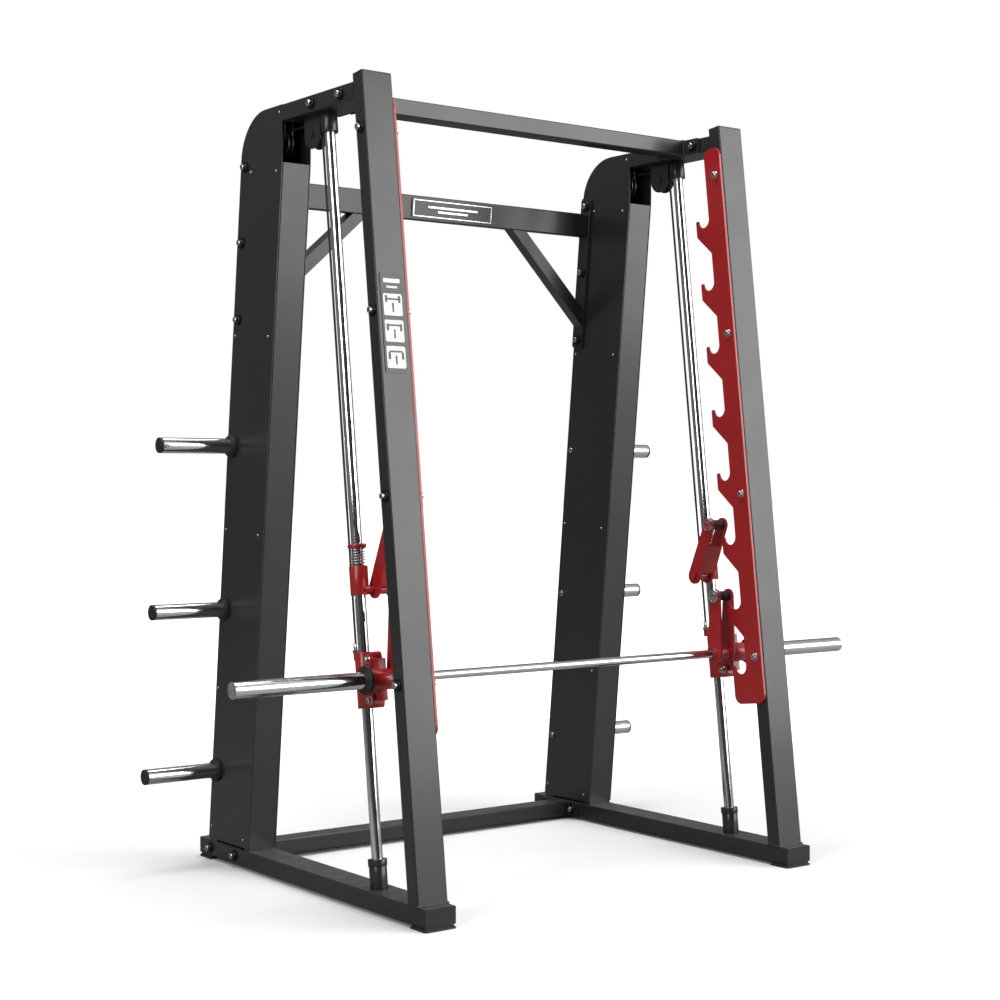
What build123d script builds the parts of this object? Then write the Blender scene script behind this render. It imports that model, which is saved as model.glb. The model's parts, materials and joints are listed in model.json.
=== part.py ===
"""Smith machine: two leaning side frames, a guided bar with hooks, sprung stops and hidden counterweights.

Millimetres, +Z up, +X to the right side frame, -Y to the front.  The origin is the middle of the footprint.
Pieces of a side frame are drawn once for the right side and mirrored for the left one.
"""
from build123d import *
import math
import os

# ---------------------------------------------------------------- driving dimensions
frame_half_spacing = 685.0      # centre of the machine to the middle of each side frame
tube_width = 100.0              # frame tubes across the machine
tube_depth = 50.0               # frame tubes the other way
tube_wall = 3.0
tube_corner = 4.0

pad_height = 12.0
pad_length = 78.0
pad_lip = 4.0
rail_length = 1284.0
cap_thickness = 5.0
plug_depth = 20.0
plug_gap = 0.4

upright_foot_y = 36.0           # front face of the upright where it stands on the rail
upright_lean = 6.88             # degrees, rearwards going up
upright_length = 2313.0

column_foot_y = 971.0
column_lean = 5.88              # degrees, forwards going up
column_depth = 252.0
column_front_tube_depth = 25.0
column_window_z = 2164.0        # sill of the opening that the cable goes through
cover_sheet = 2.0
cover_crown_radius = 150.0
cover_lift = 8.0

side_tube_top = 2336.0
side_tube_rear_y = 752.0

front_bar_y = 506.0             # centre of the top front crossbar
front_bar_depth = 70.0
front_bar_bolt_pitch = 158.0
rear_bar_height = 80.0
rear_bar_s = 2036.0             # centre of the upper rear crossbar, along the column
brace_width = 40.0
brace_reach = 305.0
brace_drop = 285.0
low_bar_y = 1114.0
low_bar_depth = 80.0
low_bar_bolts_y = (1056.0, 1215.0)
flange_thickness = 8.0
column_bolts_z = (2178.0, 1947.0, 1711.0)

rod_diameter = 32.0
rod_offset = 265.0              # rod axis behind the front face of the upright, square to the upright
socket_diameter = 51.0
low_socket_length = 62.0
buffer_length = 20.0
buffer_gap = 0.6
rod_insertion = 40.0
top_socket_z = 2228.0           # lower end of the upper rod socket

rack_thickness = 8.0
rack_front = 2.0
rack_bottom = 450.0
rack_top = 2250.0
rack_body_depth = 73.0
rack_corner = 28.0
hook_count = 8
hook_first = 545.0              # lowest seat, along the upright
hook_pitch = 208.0
hook_seat_radius = 26.0
hook_lip_rise = 27.0
hook_reach = 134.0
hook_under_slope = 65.0
rack_bolt_count = 4
rack_bolt_first = 598.0
rack_bolt_pitch = 520.0

bar_offset = 174.5              # bar axis behind the front face of the upright
bar_height = 617.0              # bar axis along the upright, just lifted off the seventh hooks
bar_diameter = 26.0
bar_overhang = 478.0            # bar end outside the middle of the side frame
sleeve_diameter = 48.0
sleeve_gap = 0.05
sleeve_start = 64.0
collar_diameter = 82.0
collar_thickness = 10.0

slider_diameter = 54.0
slider_length = 159.0
slider_bore = 42.0
rod_bush_gap = 0.08
rod_bush_length = 45.0
housing_diameter = 60.0
housing_length = 78.0
bar_bearing_length = 16.0
ear_thickness = 36.0
ear_height = 44.0
ear_reach = 65.0

hook_plate = 8.0
hook_plate_inner = 30.0         # gap from the rack to the inboard plate's outer face line
hook_plate_outer = 11.0         # gap from the rack to the outboard plate
hook_arm_length = 185.5
hook_arm_angle = 7.4            # degrees forward of the upright's own lean
hook_tip_radius = 22.0
hook_root_radius = 31.0
pin_diameter = 16.0
bushing_diameter = 30.0
disc_diameter = 43.0
disc_thickness = 9.0
side_gap = 0.5                  # sideways play of bushings between plates

stop_height = 860.0             # lower end of the stop collar, along the upright
stop_collar_length = 83.0
stop_pivot_offset = 240.0
stop_pivot_height = 873.0
stop_arm_length = 182.0
stop_arm_angle = 60.8           # degrees above square to the upright, towards the front
stop_root_radius = 26.0
web_thickness = 6.0
web_span = (20.0, 112.0)        # along the stop arm, from its pivot
spring_length = 52.0
spring_wire = 3.6
spring_turns = 6
spring_ring_height = 11.0
rod_slide_gap = 0.1

cable_diameter = 7.0
cable_offset = 40.0             # cable behind the rod axis
pulley_pitch_radius = 34.0
pulley_rim = 6.0
pulley_width = 18.0
pulley_z = 2233.0
axle_diameter = 12.0
hanger_half_width = 43.0        # plates that hold the front pulley
mount_half_width = 26.0         # plates that hold the rear pulley
running_gap = 0.05
cable_gap = 0.4
weight_cable_depth = 112.0      # weight cable behind the column's front face
weight_size = (70.0, 108.0, 240.0)
weight_s = 1540.0
guide_diameter = 10.0
guide_spread = 24.0
guide_gap = 0.6
bridge_s = 2098.0

peg_length = 245.0
peg_z = (1319.0, 805.0, 291.0)
peg_diameter = 48.0
peg_wall = 3.0
peg_root_step = 1.0             # the root is turned down by this much for the rubber collar
peg_collar = (71.0, 14.0)
peg_cap_height = 8.0
rear_line = 28.0                # pegs and column bolts ahead of the column's rear edge

bolt_shank = 10.0
bolt_clearance = 0.5
bolt_head = (19.0, 9.0)
washer = (34.0, 6.0)
screw_head = (8.0, 2.4)
upright_sign = (75.0, 284.0, 2.0)
upright_sign_w = 1600.0
bar_sign = (330.0, 64.0, 3.0)
bar_sign_x = 37.0

# ---------------------------------------------------------------- places that follow
rail_top = pad_height + tube_depth
inner_face = frame_half_spacing - tube_width / 2
outer_face = frame_half_spacing + tube_width / 2
lean_sin, lean_cos = math.sin(math.radians(upright_lean)), math.cos(math.radians(upright_lean))
column_sin, column_cos = math.sin(math.radians(column_lean)), math.cos(math.radians(column_lean))
column_slope = math.tan(math.radians(column_lean))
column_width_y = column_depth / column_cos
column_rear_depth = tube_depth
upright_frame = Pos(0, upright_foot_y, rail_top) * Rot(X=-upright_lean)
column_frame = Pos(0, column_foot_y, rail_top) * Rot(X=column_lean)
rack_x = inner_face - rack_thickness
inboard_plate_x = rack_x - hook_plate_inner
outboard_plate_x = inner_face + hook_plate_outer
centre = Vector(0, rail_length / 2, 0)
front_pulley_u = rod_offset + cable_offset + pulley_pitch_radius
front_pulley_w = (pulley_z - rail_top + front_pulley_u * lean_sin) / lean_cos
rear_pulley_v = weight_cable_depth - pulley_pitch_radius
rear_pulley_s = (pulley_z - rail_top - rear_pulley_v * column_sin) / column_cos


def at_upright(u, w):
    """World y and z of a point given square to the upright and along it."""
    return (upright_foot_y + u * lean_cos + w * lean_sin, rail_top - u * lean_sin + w * lean_cos)


def upright_height(z, u):
    """Distance along the upright of a height z, at distance u behind its front face."""
    return (z - rail_top + u * lean_sin) / lean_cos


def at_column(v, s):
    """World y and z of a point given square to the column and along it."""
    return (column_foot_y + v * column_cos - s * column_sin, rail_top + v * column_sin + s * column_cos)


def column_front(z):
    return column_foot_y - (z - rail_top) * column_slope


def column_rear(z):
    return column_front(z) + column_width_y


def column_axis_height(z, v):
    """Distance along the column of a height z, at depth v."""
    return (z - rail_top - v * column_sin) / column_cos


# ---------------------------------------------------------------- shape helpers
def slab(sketch, x_from, x_to):
    """A side view (y across, z up) pushed out from x_from to x_to."""
    return extrude(Plane.YZ.offset(x_from) * sketch, x_to - x_from, dir=(1, 0, 0))


def panel(sketch, y_from, y_to):
    """A front view (x across, z up) pushed back from y_from to y_to."""
    return extrude(Plane.XZ.offset(-y_from) * sketch, y_to - y_from, dir=(0, 1, 0))


def outline(*points):
    return Polygon(*points, align=None)


def block(x_range, y_range, z_range):
    size = [b - a for a, b in (x_range, y_range, z_range)]
    middle = [(a + b) / 2 for a, b in (x_range, y_range, z_range)]
    return Pos(*middle) * Box(*size)


def rod_x(y, z, radius, x_from, x_to):
    """A round bar along X."""
    return Pos((x_from + x_to) / 2, y, z) * Rot(Y=90) * Cylinder(radius, abs(x_to - x_from))


def ring_x(y, z, radius, bore, x_from, x_to):
    return rod_x(y, z, radius, x_from, x_to) - rod_x(y, z, bore, x_from - 1, x_to + 1)


def tube_section(width, depth, wall=tube_wall, corner=tube_corner):
    inside_corner = max(corner - wall, 0.5)
    inside = RectangleRounded(width - 2 * wall, depth - 2 * wall, inside_corner)
    return RectangleRounded(width, depth, corner) - inside


def along_z(section, z_from, z_to, middle_y=0.0):
    return Pos(frame_half_spacing, middle_y, z_from) * extrude(section, z_to - z_from, dir=(0, 0, 1))


def tube_y(middle_x, middle_z, y_from, y_to):
    """A frame tube that runs front to back, lying flat."""
    return Pos(middle_x, 0, middle_z) * panel(tube_section(tube_width, tube_depth), y_from, y_to)


def tube_x(middle_y, middle_z, depth, height, x_half):
    """A crossbar: a tube that runs from side to side."""
    return Pos(0, middle_y, middle_z) * slab(tube_section(depth, height), -x_half, x_half)


def above(part, z):
    return part - Pos(0, 0, z - 500) * Box(6000, 6000, 1000)


def tapered_bar(root, root_radius, tip, tip_radius):
    """Flat bar outline with a large round end and a small one, joined by their tangents."""
    run = Vector(tip[0] - root[0], tip[1] - root[1])
    turn = math.asin((root_radius - tip_radius) / run.length)
    heading = math.atan2(run.Y, run.X)
    edges = []
    for side in (1, -1):
        angle = heading + side * (math.pi / 2 - turn)
        direction = (math.cos(angle), math.sin(angle))
        edges.append(((root[0] + root_radius * direction[0], root[1] + root_radius * direction[1]),
                      (tip[0] + tip_radius * direction[0], tip[1] + tip_radius * direction[1])))
    (root_a, tip_a), (root_b, tip_b) = edges
    body = outline(root_a, tip_a, tip_b, root_b)
    return body + Pos(*root) * Circle(root_radius) + Pos(*tip) * Circle(tip_radius)


def both_sides(part):
    """The right-hand pieces and their mirror images."""
    return part, mirror(part, about=Plane.YZ)


def pair(part):
    right, left = both_sides(part)
    return Compound(children=[*right.solids(), *left.solids()])


nodes = {}


def add(name, part):
    nodes[name] = part


def add_sides(name, part):
    right, left = both_sides(part)
    add(f"{name}_right", right)
    add(f"{name}_left", left)


# ---------------------------------------------------------------- bolts
def bolt_through(y, z, x_inner, x_outer, washers=True):
    """A through bolt along X with a head on the inner end and a nut on the outer end."""
    head_diameter, head_height = bolt_head
    washer_diameter, washer_height = washer if washers else (head_diameter + 6, 2.0)
    shank = rod_x(y, z, bolt_shank / 2, x_inner - washer_height, x_outer + washer_height)
    pieces = shank
    for x_face, outwards in ((x_inner, -1), (x_outer, 1)):
        x_seat = x_face + outwards * washer_height
        pieces += rod_x(y, z, washer_diameter / 2, x_face, x_seat)
        pieces += rod_x(y, z, head_diameter / 2, x_seat, x_seat + outwards * head_height)
    return pieces


def bolt_hole(y, z, x_inner, x_outer):
    return rod_x(y, z, bolt_shank / 2 + bolt_clearance, x_inner - 60, x_outer + 60)


def rack_bolt_places():
    middle_u = tube_depth / 2
    return [at_upright(middle_u, rack_bolt_first + rack_bolt_pitch * i) for i in range(rack_bolt_count)]


def column_bolt_places():
    return [(column_rear(z) - rear_line, z) for z in column_bolts_z]


def peg_places():
    return [(column_rear(z) - rear_line, z) for z in peg_z]


def front_bar_bolt_places():
    middle_z = side_tube_top - tube_depth / 2
    return [(front_bar_y + side * front_bar_bolt_pitch / 2, middle_z) for side in (-1, 1)]


def low_bar_bolt_places():
    return [(y, pad_height + tube_depth / 2) for y in low_bar_bolts_y]


def drill(part, places):
    for y, z in places:
        part -= bolt_hole(y, z, inner_face, outer_face)
    return part


# ---------------------------------------------------------------- fixed frame
def foot_rail():
    rail = tube_y(frame_half_spacing, pad_height + tube_depth / 2, cap_thickness, rail_length - cap_thickness)
    return drill(rail, low_bar_bolt_places())


def tube_caps():
    """Plastic plugs in the ends of the rails and the tops of the uprights."""
    plug = tube_width - 2 * tube_wall - plug_gap, tube_depth - 2 * tube_wall - plug_gap
    middle_z = pad_height + tube_depth / 2
    caps = Part()
    plate, stub = RectangleRounded(tube_width, tube_depth, tube_corner), RectangleRounded(*plug, tube_corner)
    for y_end, inwards in ((0.0, 1), (rail_length, -1)):
        y_plate, y_stub = y_end + inwards * cap_thickness, y_end + inwards * plug_depth
        cap = panel(plate, min(y_end, y_plate), max(y_end, y_plate))
        cap += panel(stub, min(y_end, y_stub), max(y_end, y_stub))
        caps += Pos(frame_half_spacing, 0, middle_z) * cap
    top = Pos(0, 0, upright_length) * extrude(plate, cap_thickness)
    top += Pos(0, 0, upright_length - plug_depth) * extrude(stub, plug_depth)
    caps += upright_frame * Pos(frame_half_spacing, tube_depth / 2, 0) * top
    return caps


def foot_pads():
    """Rubber feet with a wider lip on the floor."""
    pads = Part()
    for y_from in (-pad_lip / 2, rail_length - pad_length + pad_lip / 2):
        middle = Pos(frame_half_spacing, y_from + pad_length / 2, 0)
        lip = extrude(RectangleRounded(tube_width + pad_lip, pad_length, 8), pad_height * 0.5)
        top = extrude(RectangleRounded(tube_width - 4, pad_length - 10, 6), pad_height)
        pads += middle * (chamfer(lip.edges().group_by(Axis.Z)[-1], 2) + top)
    return pads


def front_upright():
    tube = along_z(tube_section(tube_width, tube_depth), -60, upright_length, tube_depth / 2)
    return drill(above(upright_frame * tube, rail_top), rack_bolt_places())


def top_side_tube():
    """Short tube from the column to the upright, its front end cut to the upright's lean."""
    middle_z = side_tube_top - tube_depth / 2
    tube = tube_y(frame_half_spacing, middle_z, 250, side_tube_rear_y)
    upright_space = upright_frame * block((0, 2000), (-400, tube_depth), (1500, 3000))
    return drill(tube - upright_space, front_bar_bolt_places())


def column_frame_pieces():
    """Front tube with the light face, rear tube that carries the load, head tube, and the weight's guides."""
    inside_width = tube_width - 2 * cover_sheet
    front_section = Pos(0, column_front_tube_depth / 2) * tube_section(inside_width, column_front_tube_depth)
    front = column_frame * along_z(front_section, -40, column_axis_height(column_window_z, 0))
    rear_middle = column_depth - cover_sheet - column_rear_depth / 2
    rear_section = Pos(0, rear_middle) * tube_section(inside_width, column_rear_depth)
    rear = column_frame * along_z(rear_section, -60, column_axis_height(column_bolts_z[0], rear_middle) + 16)
    holes = [*column_bolt_places(), *peg_places()]
    pieces = [above(front, rail_top), drill(above(rear, rail_top), holes)]
    inner_from = column_front_tube_depth + 0.5
    inner_to = column_depth - cover_sheet - column_rear_depth - 0.5
    bridge = block((-inside_width / 2, inside_width / 2), (inner_from, inner_to), (bridge_s, bridge_s + 8))
    bridge -= Pos(0, weight_cable_depth, bridge_s) * Cylinder(14, 60)
    guides = []
    for x in (-guide_spread, guide_spread):
        bridge -= Pos(x, weight_cable_depth, bridge_s) * Cylinder(guide_diameter / 2 + 0.1, 60)
        guide = Pos(x, weight_cable_depth, bridge_s / 2 + 8) * Cylinder(guide_diameter / 2, bridge_s + 20)
        guides.append(above(column_frame * Pos(frame_half_spacing, 0, 0) * guide, rail_top))
    pieces.append(column_frame * Pos(frame_half_spacing, 0, 0) * bridge)
    return Compound(children=[*pieces[0].solids(), *pieces[1].solids(), *pieces[2].solids(),
                              *[solid for guide in guides for solid in guide.solids()]])


def cover_outline():
    """Side view of a column cover: straight leaning edges and a round crown at the top rear."""
    z_foot = rail_top + cover_lift
    crown_z = side_tube_top - cover_crown_radius
    crown_y = column_rear(crown_z) - cover_crown_radius
    edges = Polyline((column_rear(crown_z), crown_z), (column_rear(z_foot), z_foot),
                     (column_front(z_foot), z_foot), (column_front(column_window_z), column_window_z),
                     (side_tube_rear_y, side_tube_top), (crown_y, side_tube_top))
    crown = CenterArc((crown_y, crown_z), cover_crown_radius, 0, 90)
    return make_face(edges.edges() + crown.edges())


def side_covers():
    """Outer and inner cover sheets."""
    shape = cover_outline()
    outer = slab(shape, outer_face - cover_sheet, outer_face)
    inner = slab(shape, inner_face, inner_face + cover_sheet)
    holes = [*column_bolt_places(), *peg_places()]
    return drill(outer, holes), drill(inner, holes)


def rear_cover():
    """One bent sheet: up the back, round the crown and along the top."""
    shape = cover_outline()
    z_foot = rail_top + cover_lift
    inside = offset(shape, -cover_sheet, kind=Kind.INTERSECTION)
    band = shape - inside
    low_z, high_z, edge_y = z_foot - 40, side_tube_top + 40, side_tube_rear_y + 12
    front_part = outline((0, low_z), (column_front(low_z) + 60, low_z),
                         (column_front(column_window_z) + 60, column_window_z), (edge_y, column_window_z),
                         (edge_y, high_z), (0, high_z))
    floor_part = Pos(column_rear(z_foot), z_foot) * Rectangle(4 * column_width_y, 2 * cover_sheet + 1)
    strip = band - front_part - floor_part
    gap = 0.1
    return slab(strip, inner_face + cover_sheet + gap, outer_face - cover_sheet - gap)


def end_flange(y_range, z_range, places):
    plate = block((inner_face - flange_thickness, inner_face), y_range, z_range)
    return drill(fillet(plate.edges().filter_by(Axis.X), 8), places)


def front_crossbar():
    """Top front crossbar with its end flanges, bolted to the side tubes."""
    middle_z = side_tube_top - tube_depth / 2
    half = inner_face - flange_thickness
    tube = tube_x(front_bar_y, middle_z, front_bar_depth, tube_depth, half)
    reach = front_bar_bolt_pitch / 2 + 26
    y_range = (front_bar_y - reach, front_bar_y + reach)
    flange = end_flange(y_range, (side_tube_top - tube_depth, side_tube_top), front_bar_bolt_places())
    right, left = both_sides(flange)
    return Compound(children=[*tube.solids(), *right.solids(), *left.solids()])


def upper_rear_crossbar():
    """Upper rear crossbar, its two diagonal braces and its long end flanges."""
    half = inner_face - flange_thickness
    middle_v = column_depth - cover_sheet - column_rear_depth / 2
    tube = column_frame * tube_x(middle_v, rear_bar_s, tube_depth, rear_bar_height, half)
    low = column_axis_height(column_bolts_z[-1], middle_v) - 28
    high = column_axis_height(column_bolts_z[0], middle_v) + 28
    strip = block((half, inner_face), (middle_v - 27, middle_v + 27), (low, high))
    flange = drill(column_frame * fillet(strip.edges().filter_by(Axis.X), 10), column_bolt_places())
    under = rear_bar_s - rear_bar_height / 2
    lean = brace_width / math.sin(math.atan2(brace_drop, brace_reach))
    top_x, low_z = half - brace_reach, under - brace_drop
    brace_shape = outline((top_x - lean / 2, under), (top_x + lean / 2, under),
                          (half, low_z + lean / 2), (half, low_z - lean / 2))
    v_from, v_to = middle_v - tube_depth / 2 + 1, middle_v + tube_depth / 2 - 1
    inside = offset(brace_shape, -tube_wall, kind=Kind.INTERSECTION)
    brace = panel(brace_shape, v_from, v_to) - panel(inside, v_from + tube_wall, v_to - tube_wall)
    solids = list(tube.solids())
    for piece in (flange, column_frame * brace):
        right, left = both_sides(piece)
        solids += [*right.solids(), *left.solids()]
    return Compound(children=solids)


def lower_rear_crossbar():
    middle_z = pad_height + tube_depth / 2
    half = inner_face - flange_thickness
    tube = tube_x(low_bar_y, middle_z, low_bar_depth, tube_depth - 2, half)
    flange = end_flange((low_bar_bolts_y[0] - 26, low_bar_bolts_y[1] + 26), (pad_height + 2, rail_top - 2),
                        low_bar_bolt_places())
    right, left = both_sides(flange)
    return Compound(children=[*tube.solids(), *right.solids(), *left.solids()])


def frame_bolts():
    bolts = []
    for y, z in [*front_bar_bolt_places(), *low_bar_bolt_places()]:
        bolts.append(bolt_through(y, z, inner_face - flange_thickness, outer_face))
    for y, z in column_bolt_places():
        bolts.append(bolt_through(y, z, inner_face - flange_thickness, outer_face))
    for y, z in peg_places():
        head = rod_x(y, z, bolt_head[0] / 2, inner_face, inner_face - bolt_head[1])
        bolts.append(head + rod_x(y, z, bolt_shank / 2, inner_face, outer_face))
    solids = []
    for bolt in bolts:
        right, left = both_sides(bolt)
        solids += [*right.solids(), *left.solids()]
    return Compound(children=solids)


def rack_bolts():
    solids = []
    for y, z in rack_bolt_places():
        right, left = both_sides(bolt_through(y, z, rack_x, outer_face))
        solids += [*right.solids(), *left.solids()]
    return Compound(children=solids)


def cover_screw_places():
    """Screw rows down the front and the rear of each cover sheet."""
    levels = (2142.0, 1648.0, 1044.0, 540.0, 94.0)
    places = [(column_front(z) + 34, z) for z in levels]
    places += [(column_rear(z) - 15, z + 14) for z in levels[1:]]
    return [*places, (column_rear(2158.0) - 64, 2158.0), (side_tube_rear_y + 19, side_tube_top - 21)]


def cover_screws():
    diameter, height = screw_head
    solids = []
    for y, z in cover_screw_places():
        for x_face, outwards in ((inner_face, -1), (outer_face, 1)):
            right, left = both_sides(rod_x(y, z, diameter / 2, x_face, x_face + outwards * height))
            solids += [*right.solids(), *left.solids()]
    return Compound(children=solids)


# ---------------------------------------------------------------- guide rods and racks
def guide_rod():
    start_w = upright_height(rail_top, rod_offset) + 12
    end_w = upright_height(top_socket_z + rod_insertion, rod_offset)
    return upright_frame * along_z(Circle(rod_diameter / 2), start_w, end_w, rod_offset)


def rod_sockets():
    """Rod clamps on the rail and under the side tube, and the rubber buffer on the lower one."""
    bore = Circle(rod_diameter / 2 + running_gap)
    start_w = upright_height(rail_top, rod_offset)
    low_end = start_w + low_socket_length
    low = along_z(Circle(socket_diameter / 2) - bore, start_w + 12, low_end)
    low += along_z(Circle(socket_diameter / 2), start_w - 6, start_w + 12)
    buffer = Circle(socket_diameter / 2 + 2) - Circle(rod_diameter / 2 + buffer_gap)
    rubber = along_z(buffer, low_end, low_end + buffer_length)
    top_from = upright_height(top_socket_z, rod_offset)
    top = along_z(Circle(socket_diameter / 2), top_from, top_from + 100)
    top -= along_z(bore, top_from - 1, top_from + rod_insertion + 1)
    place = upright_frame * Pos(0, rod_offset, 0)
    ceiling = block((0, 2000), (0, 1500), (side_tube_top - tube_depth, 4000))
    low_part = above(place * low, rail_top)
    top_part = place * top - ceiling
    return Compound(children=[*low_part.solids(), *(place * rubber).solids(), *top_part.solids()])


def hook_seats():
    return [hook_first + hook_pitch * i for i in range(hook_count)]


def hook_rack():
    """Toothed plate: a body along the upright and open hooks with round seats."""
    shape = RectangleRounded(rack_body_depth - rack_front, rack_top - rack_bottom, rack_corner)
    shape = Pos((rack_front + rack_body_depth) / 2, (rack_bottom + rack_top) / 2) * shape
    body_edge = rack_body_depth
    seat_u = body_edge + hook_seat_radius
    for i, seat in enumerate(hook_seats()):
        low = seat - hook_under_slope - hook_seat_radius
        tip = seat + hook_lip_rise
        foot = (body_edge - 40, low - 40)
        hook = outline(foot, (hook_reach, seat - hook_seat_radius), (hook_reach, tip), (body_edge - 40, tip))
        if i == 0:
            hook = outline((rack_front, rack_bottom), (hook_reach, rack_bottom),
                           (hook_reach, tip), (rack_front, tip))
            hook = fillet(hook.vertices().group_by(Axis.Y)[0], rack_corner)
        shape += hook
    for seat in hook_seats():
        shape -= Pos(seat_u, seat + hook_seat_radius) * Circle(hook_seat_radius)
        gap_height = hook_lip_rise - hook_seat_radius + 12
        mouth = Rectangle(2 * hook_seat_radius, gap_height)
        shape -= Pos(seat_u, seat + hook_seat_radius + gap_height / 2) * mouth
    corners = [v for v in shape.vertices() if is_hook_corner(v)]
    shape = fillet(corners, 9)
    tips = [v for v in shape.vertices() if is_lip_tip(v)]
    shape = fillet(tips, 5)
    plate = slab(shape, rack_x, inner_face)
    return drill(upright_frame * plate, rack_bolt_places())


def is_hook_corner(vertex):
    """Lower outer corner of a hook, and the foot of the slope where it leaves the body."""
    for seat in hook_seats()[1:]:
        outer = abs(vertex.X - hook_reach) < 0.1 and abs(vertex.Y - seat + hook_seat_radius) < 0.1
        run = rack_body_depth - hook_reach
        foot_y = seat - hook_seat_radius + run
        foot = abs(vertex.X - rack_body_depth) < 0.1 and abs(vertex.Y - foot_y) < 60 and vertex.Y < seat - 40
        if outer or foot:
            return True
    return False


def is_lip_tip(vertex):
    at_tip = any(abs(vertex.Y - seat - hook_lip_rise) < 0.1 for seat in hook_seats())
    return at_tip and abs(vertex.X - hook_reach) < 0.1


# ---------------------------------------------------------------- bar, hooks and carriages
def bar_place():
    return at_upright(bar_offset, bar_height)


def bar_shaft():
    end = frame_half_spacing + bar_overhang - 6
    return rod_x(*bar_place(), bar_diameter / 2, -end, end)


def sleeve():
    """Loading sleeve turning on the bar, with a stepped ring at its end."""
    y, z = bar_place()
    start = frame_half_spacing + sleeve_start
    end = frame_half_spacing + bar_overhang
    shape = ring_x(y, z, sleeve_diameter / 2, bar_diameter / 2 + sleeve_gap, start, end - 6)
    shape += rod_x(y, z, sleeve_diameter / 2, end - 5.5, end)
    shape += ring_x(y, z, sleeve_diameter / 2, bar_diameter / 2 + 4, end - 6, end - 5)
    shape -= ring_x(y, z, sleeve_diameter / 2 - 6, sleeve_diameter / 2 - 9, end - 2, end + 1)
    return shape - rod_x(y, z, 6, end - 3, end + 1)


def bar_rubbers():
    """Rubber discs at the inner ends of the sleeves, and the bushings on the hook pins."""
    y, z = bar_place()
    start = frame_half_spacing + sleeve_start - 0.5
    disc = ring_x(y, z, collar_diameter / 2, bar_diameter / 2 + 0.02, start - collar_thickness, start)
    disc = fillet(disc.edges().filter_by(GeomType.CIRCLE).group_by(Axis.X)[-1].sort_by(SortBy.RADIUS)[-1:], 3)
    ty, tz = hook_tip()
    bushing = ring_x(ty, tz, bushing_diameter / 2, pin_diameter / 2 + 0.02,
                     inboard_plate_x + side_gap, outboard_plate_x - side_gap)
    return pair(Compound(children=[*disc.solids(), *bushing.solids()]))


def hook_tip():
    angle = math.radians(hook_arm_angle)
    forward, up = hook_arm_length * math.sin(angle), hook_arm_length * math.cos(angle)
    return at_upright(bar_offset - forward, bar_height + up)


def plate_pair(shape):
    """The inboard and the outboard plate of a two-plate arm, straddling the rack."""
    inboard = slab(shape, inboard_plate_x - hook_plate, inboard_plate_x)
    outboard = slab(shape, outboard_plate_x, outboard_plate_x + hook_plate)
    return inboard, outboard


def hook_pin(y, z):
    """Pin through both plates with its big inboard disc."""
    x_disc = inboard_plate_x - hook_plate - disc_thickness
    pin = rod_x(y, z, pin_diameter / 2, x_disc, outboard_plate_x + hook_plate + 1.2)
    return pin + rod_x(y, z, disc_diameter / 2, x_disc, inboard_plate_x - hook_plate)


def bar_hook():
    """Two plates and a hub fixed on the bar."""
    y, z = bar_place()
    ty, tz = hook_tip()
    shape = tapered_bar((y, z), hook_root_radius, (ty, tz), hook_tip_radius)
    inboard, outboard = plate_pair(shape)
    hub = rod_x(y, z, 22, inboard_plate_x, outboard_plate_x)
    arm = inboard + outboard + hub
    arm -= rod_x(y, z, bar_diameter / 2 + 0.02, 0, 1000)
    return arm - rod_x(ty, tz, pin_diameter / 2 + 0.02, 0, 1000)


def bar_hook_pins():
    return pair(hook_pin(*hook_tip()))


def carriage():
    """Slider tube on the rod, bar housing in front of it, and clamp ears above and below the housing."""
    place = upright_frame * Pos(0, rod_offset, 0)
    low, high = bar_height - slider_length / 2, bar_height + slider_length / 2
    x_range = (frame_half_spacing - ear_thickness / 2, frame_half_spacing + ear_thickness / 2)
    u_front = rod_offset - ear_reach
    body = place * along_z(Circle(slider_diameter / 2), low, high)
    ears = Part()
    for w_from in (low, high - ear_height):
        ear = block(x_range, (u_front, rod_offset), (w_from, w_from + ear_height))
        ears += fillet(ear.edges().filter_by(Axis.X).group_by(Axis.Y)[0], 12)
    web_x = (x_range[0] + 5, x_range[1] - 5)
    ears += block(web_x, (bar_offset, rod_offset), (low + 20, high - 20))
    lug_u = rod_offset + cable_offset
    lug_x = (frame_half_spacing - 7, frame_half_spacing + 7)
    lug = block(lug_x, (rod_offset, lug_u + 5.5), (high - 22, high))
    body += upright_frame * ears + upright_frame * lug
    y, z = bar_place()
    x_from = outboard_plate_x + hook_plate + 3
    body += rod_x(y, z, housing_diameter / 2, x_from, x_from + housing_length)
    body -= place * along_z(Circle(slider_bore / 2), low - 1, high + 1)
    body -= rod_x(y, z, slider_bore / 2, x_from - 1, x_from + housing_length + 1)
    for w in carriage_bolt_heights():
        by, bz = at_upright(rod_offset - ear_reach + 20, w)
        body -= bolt_hole(by, bz, inner_face, outer_face)
    return body


def carriage_bolt_heights():
    reach = slider_length / 2 - ear_height / 2
    return bar_height - reach, bar_height + reach


def carriage_bolts():
    bolts = Part()
    x_inner, x_outer = frame_half_spacing - ear_thickness / 2, frame_half_spacing + ear_thickness / 2
    for w in carriage_bolt_heights():
        y, z = at_upright(rod_offset - ear_reach + 20, w)
        bolts += bolt_through(y, z, x_inner, x_outer, washers=False)
    return pair(bolts)


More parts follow.
